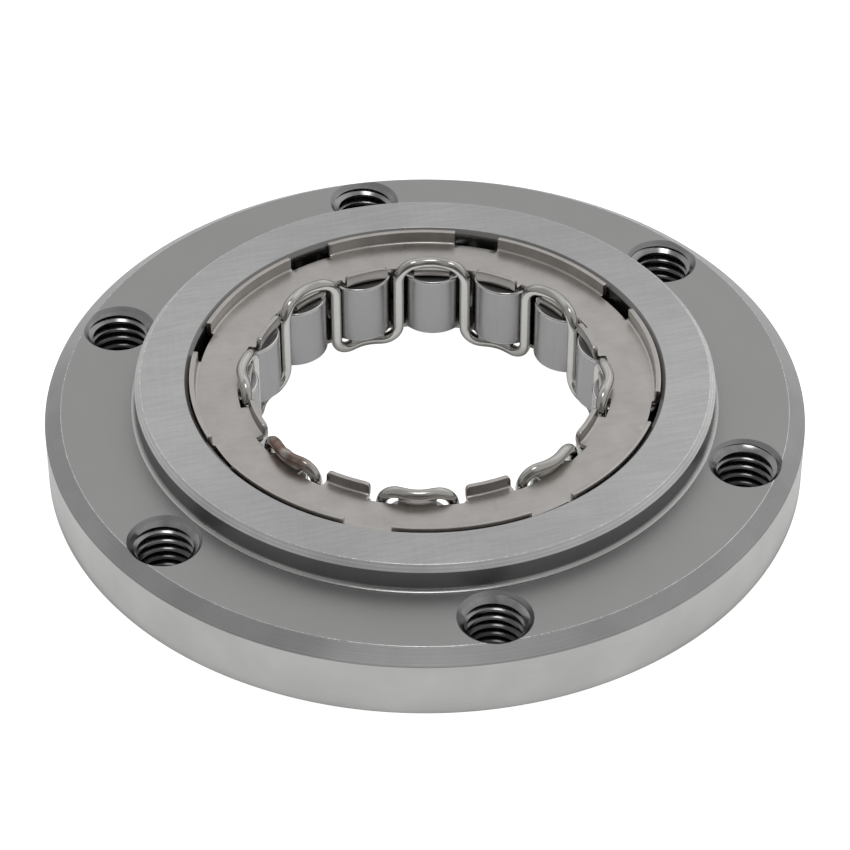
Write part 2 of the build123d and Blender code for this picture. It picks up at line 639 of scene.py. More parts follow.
@dataclass(frozen=True)
class SteelFinish:
    """One steel surface: its colour, its gloss and the marks of how it was made.

    Attributes:
        name: the material's name.
        lay: which way its fine lines run.
        colour: its mean colour.
        roughness: its mean roughness.
        tone_spread: how far patches lighten or darken it, as a share of its colour.
        gloss_spread: how wide a range of roughness the patches and the marks each add.
        line_width: how far apart its turning lines lie.
        mark_depth: how deep its marks are.
        patch_scale: the cells to a metre of its patches.
        fineness: the cells to a metre across its scratches.
        line_tone: how far its marks lighten or darken it, as a share of its colour.
        sheen_across: how far its sheen is drawn out, from 0 to 1.
    """

    name: str
    lay: Lay
    colour: Colour
    roughness: float
    tone_spread: float = 0.05
    gloss_spread: float = 0.05
    line_width: float = 0.2 * MM
    mark_depth: float = 0.0005 * MM
    patch_scale: float = 120.0
    fineness: float = 4000.0
    line_tone: float = 0.02
    sheen_across: float = 0.0

    # The share of a full turn from along the rings to across them.
    SHEEN_TURN = 0.25

    def material(self, marks: SurfaceMarks) -> Material:
        """Make the finish a material.

        Args:
            marks: the node groups that the steels share.

        Returns:
            The new material.
        """
        material = bpy.data.materials.new(self.name)
        material.use_nodes = True
        material.node_tree.nodes.clear()
        board = NodeBoard(material.node_tree)
        output = board.add("ShaderNodeOutputMaterial")
        steel = board.add("ShaderNodeBsdfPrincipled", metallic=1.0)
        board.link(steel.outputs[0], output.inputs["Surface"])
        cloud = board.add("ShaderNodeGroup", node_tree=marks.mottle, patch_scale=self.patch_scale)
        mark = self._mark(board, marks, cloud)
        board.link(self._colour(board, cloud, mark), steel.inputs["Base Color"])
        board.link(self._gloss(board, cloud, mark), steel.inputs["Roughness"])
        bump = board.add("ShaderNodeBump", distance=self.mark_depth)
        board.link(mark, bump.inputs["Height"])
        board.link(bump.outputs[0], steel.inputs["Normal"])
        if self.sheen_across > 0:
            steel.inputs["Anisotropic"].default_value = self.sheen_across
            steel.inputs["Anisotropic Rotation"].default_value = self.SHEEN_TURN
            rings = board.add("ShaderNodeTangent", direction_type="RADIAL", axis="Z")
            board.link(rings.outputs[0], steel.inputs["Tangent"])
        return material

    def _mark(self, board: NodeBoard, marks: SurfaceMarks, cloud: Node) -> Socket:
        """Place this finish's own marks.

        Args:
            board: the material's board.
            marks: the node groups that the steels share.
            cloud: the material's mottling.

        Returns:
            The height of the marks, from 0 to 1.
        """
        if self.lay is Lay.TURNED:
            group = board.add("ShaderNodeGroup", node_tree=marks.turning, line_width=self.line_width)
            return group.outputs["Height"]
        if self.lay is Lay.GROUND:
            group = board.add("ShaderNodeGroup", node_tree=marks.grinding, fineness=self.fineness)
            return group.outputs["Height"]
        return cloud.outputs["Grain"]

    def _colour(self, board: NodeBoard, cloud: Node, mark: Socket) -> Socket:
        """Let the colour drift with the patches and the marks.

        Args:
            board: the material's board.
            cloud: the material's mottling.
            mark: the height of its marks.

        Returns:
            The colour.
        """
        tones = (1 - self.tone_spread, 1 + self.tone_spread)
        patches = board.spread(cloud.outputs["Patches"], NOISE_BAND, tones)
        lines = board.spread(mark, NOISE_BAND, (1 - self.line_tone, 1 + self.line_tone))
        return board.shaded(self.colour, board.math("MULTIPLY", patches, lines))

    def _gloss(self, board: NodeBoard, cloud: Node, mark: Socket) -> Socket:
        """Let the roughness drift with the patches and the marks.

        Args:
            board: the material's board.
            cloud: the material's mottling.
            mark: the height of its marks.

        Returns:
            The roughness.
        """
        swing = (-self.gloss_spread / 2, self.gloss_spread / 2)
        patches = board.spread(cloud.outputs["Patches"], NOISE_BAND, swing)
        lines = board.spread(mark, NOISE_REACH, swing)
        return board.math("ADD", board.math("ADD", patches, lines), self.roughness)


@dataclass(frozen=True)
class HoleShadeFinish(SteelFinish):
    """Steel down a hole, with painted shade that darkens its colour towards the bottom.

    Attributes:
        shade_full_at: the height below which the painted shade is darkest.
        shade_none_at: the height above which there is no painted shade.
        shade_share: the share of its colour that is left where the painted shade is darkest.
    """

    shade_full_at: float = 2.0 * MM
    shade_none_at: float = 8.4 * MM
    shade_share: float = 0.25

    def _colour(self, board: NodeBoard, cloud: Node, mark: Socket) -> Socket:
        """Paint shade into the steel's colour, darker towards the foot of the hole.

        Args:
            board: the material's board.
            cloud: the material's mottling.
            mark: the height of its marks.

        Returns:
            The colour.
        """
        split = board.add("ShaderNodeSeparateXYZ")
        board.link(board.place(), split.inputs[0])
        shade = board.spread(split.outputs["Z"], (self.shade_full_at, self.shade_none_at), (self.shade_share, 1.0))
        return board.shaded(super()._colour(board, cloud, mark), shade)


@dataclass(frozen=True)
class WeldedFinish(SteelFinish):
    """Drawn wire with the brown heat tint that its butt weld left on either side.

    Attributes:
        weld: the middle of the weld.
        tint: the tint's own colour.
        bead: the distances from the weld's middle between which the tint sets in.
        bead_tint: how strong it is on the weld itself.
        fade: the distances between which it fades out.
        patch_band: the values of the mottling between which its patches go from weak to full.
        patch_tint: how strong it is where the patches are weak.
    """

    weld: Point3 = (0.0, 0.0, 0.0)
    tint: Colour = (0.25, 0.155, 0.12)
    bead: Point2 = (0.6 * MM, 1.08 * MM)
    bead_tint: float = 0.15
    fade: Point2 = (2.42 * MM, 4.4 * MM)
    patch_band: Point2 = (0.35, 0.6)
    patch_tint: float = 0.72

    def _colour(self, board: NodeBoard, cloud: Node, mark: Socket) -> Socket:
        """Lay a patchy brown ring over the steel's colour on either side of the weld.

        Args:
            board: the material's board.
            cloud: the material's mottling.
            mark: the height of its marks.

        Returns:
            The colour.
        """
        away = board.add("ShaderNodeVectorMath", operation="DISTANCE")
        board.link(board.place(), away.inputs[0])
        away.inputs[1].default_value = self.weld
        rise = board.spread(away.outputs["Value"], self.bead, (self.bead_tint, 1.0))
        fall = board.spread(away.outputs["Value"], self.fade, (1.0, 0.0))
        patches = board.spread(cloud.outputs["Patches"], self.patch_band, (self.patch_tint, 1.0))
        amount = board.math("MULTIPLY", board.math("MULTIPLY", rise, fall), patches)
        return board.mixed(amount, super()._colour(board, cloud, mark), (*self.tint, 1.0))


class RaceFace(Enum):
    """The kinds of face that the outer race has, each with its finish. The bore and the hub's wall carry
    painted shade, the hub's chamfer and the broken edges painted highlights.
    """

    FLANGE = SteelFinish("race_turned_top", Lay.TURNED, colour=(0.50, 0.50, 0.495), roughness=0.50,
                         tone_spread=0.025, gloss_spread=0.03, line_width=0.12 * MM,
                         mark_depth=0.0003 * MM)
    RIM_CHAMFER = SteelFinish("race_turned_chamfer", Lay.TURNED, colour=(0.49, 0.49, 0.49),
                              roughness=0.42, tone_spread=0.10, gloss_spread=0.06,
                              line_width=0.12 * MM, mark_depth=0.001 * MM, line_tone=0.24)
    SIDE = SteelFinish("race_turned_side", Lay.TURNED, colour=(0.52, 0.52, 0.51), roughness=0.38,
                       tone_spread=0.09, gloss_spread=0.06, patch_scale=110.0)
    HUB = SteelFinish("race_ground_hub", Lay.GROUND, colour=(0.63, 0.63, 0.63), roughness=0.34,
                      tone_spread=0.06, mark_depth=0.0008 * MM, fineness=3000.0, line_tone=0.05,
                      sheen_across=0.8)
    # The bore and its chamfers: a darker copy of the race's steel, which paints shade on them.
    BORE = SteelFinish("race_ground_bore_painted_shade", Lay.TURNED, colour=(0.33, 0.325, 0.32), roughness=0.28,
                       gloss_spread=0.04)
    # Its colour has painted shade, darker towards the foot of each hole.
    HOLE = HoleShadeFinish("drilled_hole_wall", Lay.ROLLED, colour=(0.42, 0.42, 0.42), roughness=0.30,
                      tone_spread=0.06, mark_depth=0.0004 * MM)
    # The hub's upright wall: a dark copy of the race's steel, which paints shade on it.
    HUB_WALL = SteelFinish("race_hub_wall_painted_shade", Lay.TURNED, colour=(0.26, 0.26, 0.265), roughness=0.50)
    # The broken edges of the hub and the rim: a light, patchy copy of the steel, painted highlights.
    BROKEN_EDGE = SteelFinish("race_edge_painted_highlight", Lay.GROUND, colour=(0.82, 0.82, 0.81), roughness=0.25,
                              tone_spread=0.25, gloss_spread=0.14, patch_scale=1400.0)
    HUB_FILLET = SteelFinish("race_hub_fillet", Lay.TURNED, colour=(0.60, 0.60, 0.59), roughness=0.26)
    # The hub's chamfer: a lighter copy of the rim's chamfer, which paints light on it.
    HUB_CHAMFER = replace(RIM_CHAMFER, name="race_hub_chamfer_painted_light", colour=(0.78, 0.78, 0.775))


# Its colour has painted shade, darker towards the foot of each hole.
THREAD = HoleShadeFinish("tapped_thread", Lay.ROLLED, colour=(0.46, 0.46, 0.46), roughness=0.18,
                    tone_spread=0.10, gloss_spread=0.08, mark_depth=0.0006 * MM, patch_scale=900.0,
                    shade_full_at=3.5 * MM, shade_share=0.18)
SHEET = SteelFinish("cage_sheet", Lay.GROUND, colour=(0.62, 0.595, 0.57), roughness=0.30,
                    tone_spread=0.075, gloss_spread=0.04, mark_depth=0.0004 * MM, patch_scale=330.0,
                    fineness=1800.0)
# The tabs' upright faces: a darker copy of the sheet, painted shade.
TAB_PAINTED_SHADE = replace(SHEET, name="cage_tab_painted_shade", colour=(0.38, 0.365, 0.35))
CAM = SteelFinish("sprag_ground", Lay.GROUND, colour=(0.40, 0.40, 0.405), roughness=0.24,
                  tone_spread=0.03, gloss_spread=0.04, mark_depth=0.0003 * MM)
# The chamfers round the sprags' ends: a lighter copy of the ground steel, painted highlights.
CAM_EDGE_HIGHLIGHT = replace(CAM, name="sprag_edge_painted_highlight", colour=(0.86, 0.86, 0.85), roughness=0.16)
WIRE = WeldedFinish("spring_wire_drawn", Lay.ROLLED, colour=(0.68, 0.67, 0.64), roughness=0.17,
                    tone_spread=0.03, gloss_spread=0.03, mark_depth=0.0002 * MM, patch_scale=500.0)


@dataclass
class OuterRace:
    """The flanged ring: turned body, tapped holes and their threads.

    Attributes:
        layout: the sizes that the pieces share.
        flange_thickness: the height of the flange's top.
        rim_chamfer: the chamfer of the rim's upper edge, inwards and down.
        foot_chamfer: the chamfer of the rim's lower edge.
        hub_chamfer: the chamfer of the hub's upper edge.
        hub_fillet: the radius at the hub's foot.
        bore_radius: the radius of the bore that the sprags roll on.
        bore_chamfer: the chamfer at either end of the bore.
        hole_chamfer: the chamfer at either mouth of a hole.
        edge_break: the radius of a broken edge.
        cutter_past: how far a cutter reaches past the face that it goes through.
        thread_pitch: the height of one turn of the thread.
        thread_minor_radius: the radius of the thread's crest.
        thread_bite: how far the thread's root is sunk into the hole's wall.
        root_share: half the thread's width at its root, as a share of its pitch.
        crest_share: half the thread's width at its crest, as a share of its pitch.
        cone_reach: how far the cones that trim the thread reach past the faces.
        steps_round: the faces round the ring.
        steps_in_hole: the faces round a hole.
        steps_in_thread: the faces along one turn of the thread.
        steps_in_edge: the faces across a rounded edge.
        smooth_below: the angle in degrees from which the ring's edges stay sharp.
        side_depth: how far inside the rim the middle of a face of its side may lie.
        wall_rise: how far the normal of a face of the hub's wall may rise, out of 1; those faces take
            painted shade.
        hole_rise: how far the normal of a face in a hole may rise.
        edge_rise: between what the normal of a broken edge rises, where it takes painted highlights.
    """

    layout: Layout
    flange_thickness: float = 9.0 * MM
    rim_chamfer: Point2 = (2.0 * MM, 1.4 * MM)
    foot_chamfer: float = 0.5 * MM
    hub_chamfer: float = 0.7 * MM
    hub_fillet: float = 0.5 * MM
    bore_radius: float = 28.5 * MM
    bore_chamfer: float = 0.5 * MM
    hole_chamfer: float = 0.4 * MM
    edge_break: float = 0.14 * MM
    cutter_past: float = 0.05 * MM
    thread_pitch: float = 1.25 * MM
    thread_minor_radius: float = 3.32 * MM
    thread_bite: float = 0.02 * MM
    root_share: float = 0.4375
    crest_share: float = 0.125
    cone_reach: float = 4.0 * MM
    steps_round: int = 288
    steps_in_hole: int = 56
    steps_in_thread: int = 40
    steps_in_edge: int = 4
    smooth_below: float = 25.0
    side_depth: float = 0.05 * MM
    wall_rise: float = 0.3
    hole_rise: float = 0.9
    edge_rise: Point2 = (0.72, 0.999)

    def outline(self) -> list[Point2]:
        """Draw the ring's section.

        Returns:
            Its (radius, height) corners.
        """
        rim, top = self.layout.flange_radius, self.flange_thickness
        hub, height = self.layout.hub_radius, self.layout.body_height
        bore, edge = self.bore_radius, self.edge_break
        return rounded([
            (bore + self.bore_chamfer, 0.0, 0.0),
            (rim - self.foot_chamfer, 0.0, edge),
            (rim, self.foot_chamfer, edge),
            (rim, top - self.rim_chamfer[1], edge),
            (rim - self.rim_chamfer[0], top, edge),
            (hub, top, self.hub_fillet),
            (hub, height - self.hub_chamfer, edge),
            (hub - self.hub_chamfer, height, edge),
            (bore + self.bore_chamfer, height, edge),
            (bore, height - self.bore_chamfer, edge),
            (bore, self.bore_chamfer, 0.0),
        ], self.steps_in_edge)

    def hole_outline(self) -> list[Point2]:
        """Draw the section of the cutter for one hole and its two mouths.

        Returns:
            Its (radius, height) corners.
        """
        radius, top = self.layout.bolt_radius, self.flange_thickness
        chamfer, past = self.hole_chamfer, self.cutter_past
        mouth = radius + chamfer + past
        return [(0.0, -past), (mouth, -past), (radius, chamfer), (radius, top - chamfer),
                (mouth, top + past), (0.0, top + past)]

    def hole_angles(self) -> list[float]:
        """Return the angles of the holes, the first on +X."""
        return [FULL_TURN / self.layout.bolt_count * index for index in range(self.layout.bolt_count)]

    def hole_places(self) -> list[Vector]:
        """Return where each hole's axis meets the bottom face."""
        return [polar(self.layout.bolt_circle_radius, angle, 0) for angle in self.hole_angles()]

    def body(self) -> Piece:
        """Turn the ring and cut its holes.

        Returns:
            The ring.
        """
        ring = Modelling.lathe("outer_race_turned", self.outline(), self.steps_round, Vector())
        cutters = [Modelling.lathe("hole_cutter", self.hole_outline(), self.steps_in_hole, place)
                   for place in self.hole_places()]
        Modelling.cut(ring, cutters)
        return ring

    def ridge(self, axis: Vector) -> Piece:
        """Wind one thread ridge, a turn too long at each end.

        Args:
            axis: where the hole's axis meets the bottom face.

        Returns:
            The ridge, its root sunk a little into the hole's wall.
        """
        wall, crest = self.layout.bolt_radius + self.thread_bite, self.thread_minor_radius
        root_half, crest_half = self.thread_pitch * self.root_share, self.thread_pitch * self.crest_share
        start = -self.thread_pitch
        tooth = [Vector((wall, 0, start - root_half)), Vector((crest, 0, start - crest_half)),
                 Vector((crest, 0, start + crest_half)), Vector((wall, 0, start + root_half))]
        ridge = Modelling.chain("thread_ridge", tooth, closed=True)
        turns = math.ceil(self.flange_thickness / self.thread_pitch) + 2
        Modelling.apply(ridge, "SCREW", axis="Z", angle=FULL_TURN, screw_offset=self.thread_pitch,
                        iterations=turns, steps=self.steps_in_thread, render_steps=self.steps_in_thread,
                        use_merge_vertices=True)
        with Modelling.editing(ridge):
            bpy.ops.mesh.select_all(action="SELECT")
            bpy.ops.mesh.fill_holes(sides=0)
            Modelling.close_seams()
        ridge.data.transform(Matrix.Translation(axis))
        return ridge

    def threads(self) -> Piece:
        """Thread every hole, with the ridges' ends cut by the mouths' cones.

        Returns:
            All the ridges as one piece.
        """
        axis = self.hole_places()[0]
        ridge = self.ridge(axis)
        mouth, reach = self.layout.bolt_radius + self.hole_chamfer, self.cone_reach
        cones = []
        for height, side in ((self.flange_thickness, 1), (0.0, -1)):
            far = height + side * reach
            outline = [(0.0, height - side * mouth), (mouth + reach, far), (0.0, far)]
            cones.append(Modelling.lathe("mouth_cone", outline, self.steps_in_hole, axis))
        Modelling.cut(ridge, cones)
        ridges = [Modelling.copy_about_axis(ridge, "thread_ridge_copy", angle)
                  for angle in self.hole_angles()[1:]]
        return Modelling.join([ridge, *ridges], "tapped_threads")

    def kind_of(self, middle: Vector, normal: Vector) -> RaceFace:
        """Tell a face's kind by its place and its slope.

        Args:
            middle: the face's middle.
            normal: its normal.

        Returns:
            The kind of face.
        """
        layout, radius, top = self.layout, radius_of(middle), self.flange_thickness
        hub_edge = layout.hub_radius - self.hub_chamfer
        rim_edge = layout.flange_radius - self.rim_chamfer[0]
        mouth, slope = layout.bolt_radius + self.hole_chamfer, abs(normal.z)
        # The bore and its chamfers take the painted shade.
        if radius < self.bore_radius + self.bore_chamfer - self.edge_break / 2:
            return RaceFace.BORE
        in_hole = any(math.dist(place.xy, middle.xy) < mouth for place in self.hole_places())
        if in_hole and slope < self.hole_rise:
            return RaceFace.HOLE
        # The broken edges of the hub and the rim take painted highlights.
        near_edge = min(abs(radius - hub_edge), abs(radius - rim_edge)) < self.edge_break
        if near_edge and self.edge_rise[0] < normal.z < self.edge_rise[1]:
            return RaceFace.BROKEN_EDGE
        if top < middle.z < top + self.hub_fillet and radius < layout.hub_radius + self.hub_fillet:
            return RaceFace.HUB_FILLET
        if middle.z > top + self.hub_fillet:
            # The hub's wall takes painted shade.
            if slope < self.wall_rise:
                return RaceFace.HUB_WALL
            # The hub's chamfer takes painted light.
            return RaceFace.HUB_CHAMFER if radius > hub_edge else RaceFace.HUB
        if radius > layout.flange_radius - self.side_depth:
            return RaceFace.SIDE
        if radius > rim_edge and middle.z > top / 2:
            return RaceFace.RIM_CHAMFER
        return RaceFace.FLANGE

    def build(self, marks: SurfaceMarks) -> list[Piece]:
        """Build the race, dressed and riding on its body.

        Args:
            marks: the node groups that the steels share.

        Returns:
            The ring and its threads.
        """
        ring = self.body()
        for kind in RaceFace:
            ring.data.materials.append(kind.value.material(marks))
        slots = {kind: slot for slot, kind in enumerate(RaceFace)}
        for face in ring.data.polygons:
            face.material_index = slots[self.kind_of(face.center, face.normal)]
        Modelling.smooth(ring, self.smooth_below)
        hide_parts("outer_race")
        threads = self.threads()
        threads.data.materials.append(THREAD.material(marks))
        Modelling.smooth(threads)
        for piece in (ring, threads):
            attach(piece, "outer_race")
        return [ring, threads]


@dataclass
class CagePlate:
    """One stamped plate of the cage, drawn as the upper one and turned over for the lower.

    Attributes:
        layout: the sizes that the pieces share.
        name: the piece's name.
        node: the CAD node that it replaces.
        upper: whether it is the upper plate.
        sheet: the sheet's thickness.
        bend_radius: the inner radius of its bends.
        cage_middle: the height about which the lower plate is turned over.
        plate_inside: the height of the side that faces the other plate.
        tab_inner: the radius of the tabs' inner face.
        open_tab_end: the height of a free tab's end.
        crossed_tab_end: the height of the end of a tab that the wire crosses.
        lip_outer: the radius of the lips' outer face.
        upper_lip_end: the height of the lips' ends.
        lower_lip_end: the same on the lower plate, as drawn.
        lip_gap: the width of a gap between two lips.
        notch_depth: how far the flat's inner edge lies behind the tabs.
        pillar_width: the width of a pillar.
        pillar_shift: the angle of a pillar from the middle of its gap.
        pillar_slit: the room on either side of a pillar.
        crossed_tab_width: the width of a tab that the wire crosses.
        open_tab_width: the width of a free tab.
        tab_corner: the size of a free tab's round corners.
        corner_room: how far inside a free tab's side the next column stands, in corners.
        edge_break: the width of a broken edge.
        sharp_from: the angle from which an edge is broken.
        column: the usual angle between two columns of the sheet.
        steps_in_bend: the faces across a bend.
        steps_in_corner: the edges round a tab's corner.
        steps_in_edge: the faces across a broken edge.
        tab_rise: how far the normal of a tab's face may rise, out of 1; those faces take painted shade.
    """

    layout: Layout
    name: str
    node: str
    upper: bool
    sheet: float = 0.6 * MM
    bend_radius: float = 0.3 * MM
    cage_middle: float = 6.25 * MM
    plate_inside: float = 10.40 * MM
    tab_inner: float = 20.98 * MM
    open_tab_end: float = 12.37 * MM
    crossed_tab_end: float = 11.35 * MM
    lip_outer: float = 28.4 * MM
    upper_lip_end: float = 12.55 * MM
    lower_lip_end: float = 12.20 * MM
    lip_gap: float = 5.7 * MM
    notch_depth: float = 1.0 * MM
    pillar_width: float = 2.2 * MM
    pillar_shift: float = math.radians(-1.7)
    pillar_slit: float = 0.3 * MM
    crossed_tab_width: float = 4.5 * MM
    open_tab_width: float = 5.6 * MM
    tab_corner: float = 0.6 * MM
    corner_room: float = 1.1
    edge_break: float = 0.07 * MM
    sharp_from: float = math.radians(40)
    column: float = math.radians(1.3)
    steps_in_bend: int = 5
    steps_in_corner: int = 4
    steps_in_edge: int = 2
    tab_rise: float = 0.5

    @property
    def skin(self) -> float:
        """Return the height of the flat sheet's middle."""
        return self.plate_inside + self.sheet / 2

    @property
    def pillar_end(self) -> float:
        """Return the height where the pillars, as drawn, meet the other plate."""
        return 2 * self.cage_middle - self.plate_inside

    @property
    def bend(self) -> float:
        """Return the bend radius at the sheet's middle."""
        return self.bend_radius + self.sheet / 2

    @property
    def tab_middle(self) -> float:
        """Return the radius of a tab's middle."""
        return self.tab_inner + self.sheet / 2

    @property
    def notch_radius(self) -> float:
        """Return the radius of the flat's inner edge between the tabs."""
        return self.tab_inner + self.sheet + self.notch_depth

    @property
    def lip_middle(self) -> float:
        """Return the radius of the lip's middle."""
        return self.lip_outer - self.sheet / 2

    @property
    def plate_edge(self) -> float:
        """Return the radius of the flat's outer edge, where the gaps reach it."""
        return self.lip_middle - self.bend

    @property
    def pillar_root(self) -> float:
        """Return the radius where the pillars begin to bend."""
        return self.plate_edge - self.sheet - self.bend_radius

    @property
    def gap_half(self) -> float:
        """Return half the angle of a gap between two lips."""
        return self.lip_gap / 2 / self.lip_outer

    @property
    def pillar_half(self) -> float:
        """Return half the angle of a pillar."""
        return self.pillar_width / 2 / self.plate_edge

    @property
    def slit_half(self) -> float:
        """Return half the angle of the opening that a pillar stands in."""
        return self.pillar_half + self.pillar_slit / self.plate_edge

    def tab_span(self, middle: float, width: float) -> Point2:
        """Return the angles of a tab's two sides."""
        half = width / 2 / (self.tab_inner + self.sheet)
        return middle - half, middle + half

    @property
    def crossed_span(self) -> Point2:
        """Return the angles, from a gap, of the tab that the wire crosses."""
        side = 1 if self.upper else -1
        return self.tab_span(side * self.layout.pitch / 2, self.crossed_tab_width)

    @property
    def open_span(self) -> Point2:
        """Return the angles, from a gap, of the tab that stands free."""
        return self.tab_span(-self.layout.pitch / 2, self.open_tab_width)

    def stations(self) -> list[float]:
        """Divide one repeat of the sheet into columns, with one at every cut.

        Returns:
            The angles of the columns.
        """
        pitch, gap = self.layout.pitch, self.gap_half
        marks = {-pitch, pitch, -gap, gap, *self.crossed_span}
        if self.upper:
            corner = self.tab_corner * self.corner_room / self.tab_inner
            start, end = self.open_span
            marks |= {start, start + corner, end - corner, end}
        else:
            for half in (self.pillar_half, self.slit_half):
                marks |= {self.pillar_shift - half, self.pillar_shift + half}
        ordered = sorted(marks)
        angles = [ordered[0]]
        for here, there in zip(ordered, ordered[1:]):
            steps = max(1, round((there - here) / self.column))
            angles += [here + (there - here) * step / steps for step in range(1, steps + 1)]
        return angles

    def sweep(self, name: str, outline: list[Point2], angles: list[float]) -> Piece:
        """Spin an open outline through some angles, one after another.

        Args:
            name: the piece's name.
            outline: its (radius, height) corners.
            angles: where the columns of the new sheet stand.

        Returns:
            The sheet, which has no thickness yet.
        """
        points = [Vector((radius, 0, height)) for radius, height in outline]
        piece = Modelling.chain(name, points, closed=False)
        piece.data.transform(Matrix.Rotation(angles[0], 4, "Z"))
        with Modelling.editing(piece):
            bpy.ops.mesh.select_all(action="SELECT")
            for here, there in zip(angles, angles[1:]):
                # Spun about -Z, the outline moves from +X towards +Y.
                bpy.ops.mesh.spin(steps=1, angle=there - here, center=(0, 0, 0), axis=(0, 0, -1))
        return piece

    def section(self) -> list[Point2]:
        """Draw the middle of the sheet from a tab's end to a lip's end.

        Returns:
            Its (radius, height) corners.
        """
        lip_end = self.upper_lip_end if self.upper else self.lower_lip_end
        flat = [(self.notch_radius, self.skin, 0.0), (self.pillar_root, self.skin, 0.0)]
        rim = [(self.lip_middle, self.skin, self.bend), (self.lip_middle, lip_end, 0.0)]
        tongue = [(self.tab_inner, self.skin, 0.0)]
        tab = [
            (self.tab_middle, self.open_tab_end, 0.0),
            (self.tab_middle, self.crossed_tab_end, 0.0),
            (self.tab_middle, self.skin, self.bend),
        ]
        return rounded([*(tab if self.upper else tongue), *flat, *rim], self.steps_in_bend, closed=False)

    def channel(self) -> Piece:
        """Stamp one repeat of the ring with its tabs, notches, lips and gap.

        Returns:
            The stamped sheet, which has no thickness yet.
        """
        sheet = self.sweep("cage_channel", self.section(), self.stations())
        with Modelling.editing(sheet):
            Modelling.pick(Element.FACE, self.is_cut_away)
            bpy.ops.mesh.delete(type="FACE")
            if self.upper:
                Modelling.pick(Element.CORNER, self.is_tab_corner)
                bpy.ops.mesh.bevel(offset=self.tab_corner, segments=self.steps_in_corner,
                                   affect="VERTICES")
        return sheet

    def is_cut_away(self, middle: Vector) -> bool:
        """Tell whether a face lies in a notch, a gap or a slit.

        Args:
            middle: the face's middle.

        Returns:
            Whether it is cut away.
        """
        angle, radius = angle_of(middle), radius_of(middle)
        if radius > self.plate_edge:
            return abs(angle) < self.gap_half
        if radius > self.pillar_root and not self.upper:
            return abs(angle - self.pillar_shift) < self.slit_half
        if radius > self.notch_radius:
            return False
        if self.crossed_span[0] < angle < self.crossed_span[1]:
            return middle.z > self.crossed_tab_end
        return not (self.upper and self.open_span[0] < angle < self.open_span[1])

    def is_tab_corner(self, place: Vector) -> bool:
        """Tell whether a corner is at the end of a free tab's upper edge.

        Args:
            place: the corner's place.

        Returns:
            Whether it is one of the two.
        """
        if place.z < self.open_tab_end - MERGE_DISTANCE or radius_of(place) > self.notch_radius:
            return False
        return any(abs(angle_of(place) - end) < SAME_ANGLE for end in self.open_span)

    def pillar(self) -> Piece:
        """Bend one strip from the rim towards the other plate.

        Returns:
            The pillar, which has no thickness yet.
        """
        middle = self.plate_edge - self.sheet / 2
        line = rounded([
            (self.notch_radius, self.skin, 0.0),
            (middle, self.skin, self.bend),
            (middle, self.pillar_end, 0.0),
        ], self.steps_in_bend, closed=False)[1:]
        reach = self.pillar_half + SAME_ANGLE
        angles = [angle for angle in self.stations() if abs(angle - self.pillar_shift) < reach]
        return self.sweep("cage_pillar", line, angles)

    def build(self, sheet: Material, tab: Material) -> Piece:
        """Build the plate, dressed and riding on the cage.

        Args:
            sheet: the finish of the plate.
            tab: the darker copy of the sheet for the tabs' upright faces, painted shade.

        Returns:
            The finished plate.
        """
        parts = [self.channel()] if self.upper else [self.channel(), self.pillar()]
        repeat = Modelling.join(parts, "cage_repeat")
        turn = 2 * self.layout.pitch
        repeat.data.transform(Matrix.Rotation(self.layout.first_gap, 4, "Z"))
        copies = [Modelling.copy_about_axis(repeat, "cage_repeat_copy", turn * index)
                  for index in range(1, self.layout.sprag_count // 2)]
        plate = Modelling.join([repeat, *copies], self.name)
        if not self.upper:
            turned_over = Matrix.Diagonal((1, 1, -1, 1))
            plate.data.transform(Matrix.Translation((0, 0, 2 * self.cage_middle)) @ turned_over)
        with Modelling.editing(plate):
            Modelling.close_seams()
        Modelling.apply(plate, "SOLIDIFY", thickness=self.sheet, offset=0.0, use_even_offset=True)
        Modelling.apply(plate, "BEVEL", width=self.edge_break, segments=self.steps_in_edge,
                        limit_method="ANGLE", angle_limit=self.sharp_from, use_clamp_overlap=False)
        Modelling.smooth(plate)
        plate.data.materials.append(sheet)
        plate.data.materials.append(tab)
        # Upright faces near the tabs take the painted shade.
        tab_reach = self.notch_radius - self.notch_depth / 2
        for face in plate.data.polygons:
            upright = abs(face.normal.z) < self.tab_rise
            face.material_index = upright and radius_of(face.center) < tab_reach
        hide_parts(self.node)
        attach(plate, "cage")
        return plate


